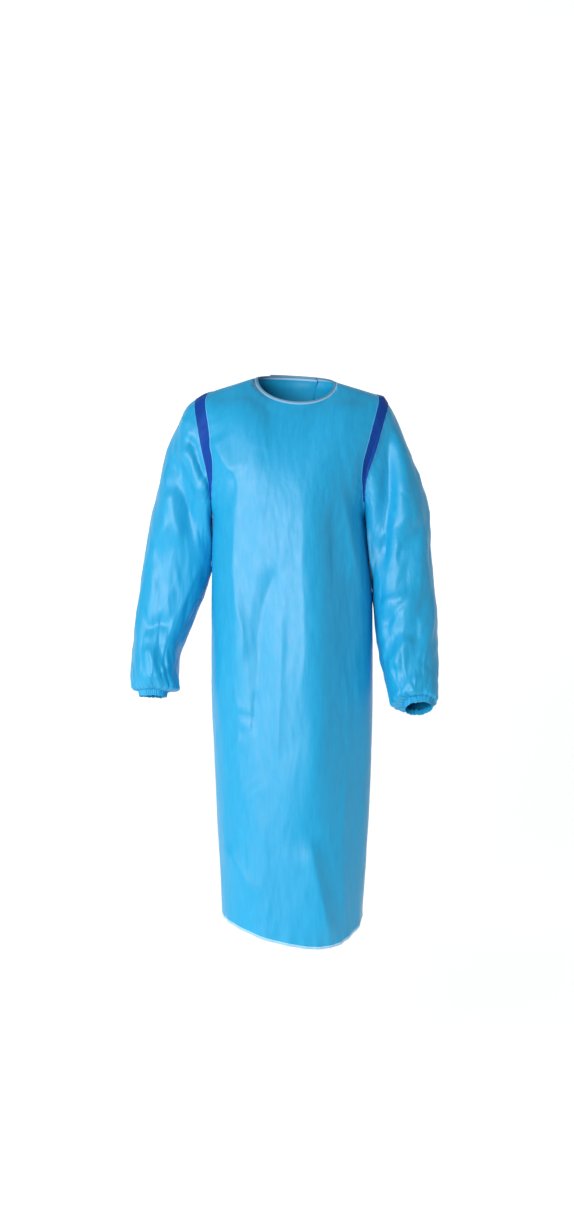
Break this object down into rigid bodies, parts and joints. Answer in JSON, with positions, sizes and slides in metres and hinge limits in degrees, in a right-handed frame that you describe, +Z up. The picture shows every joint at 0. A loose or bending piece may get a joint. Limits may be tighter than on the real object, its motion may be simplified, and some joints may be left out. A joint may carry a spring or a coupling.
{
  "type": "surgical gown",
  "caption": "Long-sleeved blue surgical gown in its worn, hollow form, with taped armholes, bound neck, gathered elastic cuffs and a back that laps over and ties.",
  "frame": {"origin": "between the wearer's shoulders at the base of the neck, where the gown hangs from the wearer", "axes": "+Z up towards the head, the gown's front faces -Y, +X is the wearer's left"},
  "size_m": [0.5984, 0.2618, 1.1096],
  "materials": {
    "cloth": "film-coated spunbond nonwoven, soft satin sheen",
    "tape": "heat-sealed seam tape, smooth satin",
    "binding": "folded nonwoven binding, matt",
    "closure": "hook-and-loop tape, matt"
  },
  "bodies": {
    "root": {"front_panel": "cloth", "back_panel_left": "cloth", "back_panel_right": "cloth", "sleeve_left": "cloth", "sleeve_right": "cloth", "cuff_left": "cloth", "cuff_right": "cloth", "armhole_tape_left": "tape", "armhole_tape_right": "tape", "neck_binding": "binding", "neck_tab": "closure", "waist_tie_left": "cloth", "waist_tie_right": "cloth", "waist_knot": "cloth", "tie_end_left": "cloth", "tie_end_right": "cloth"}
  },
  "joints": []
}
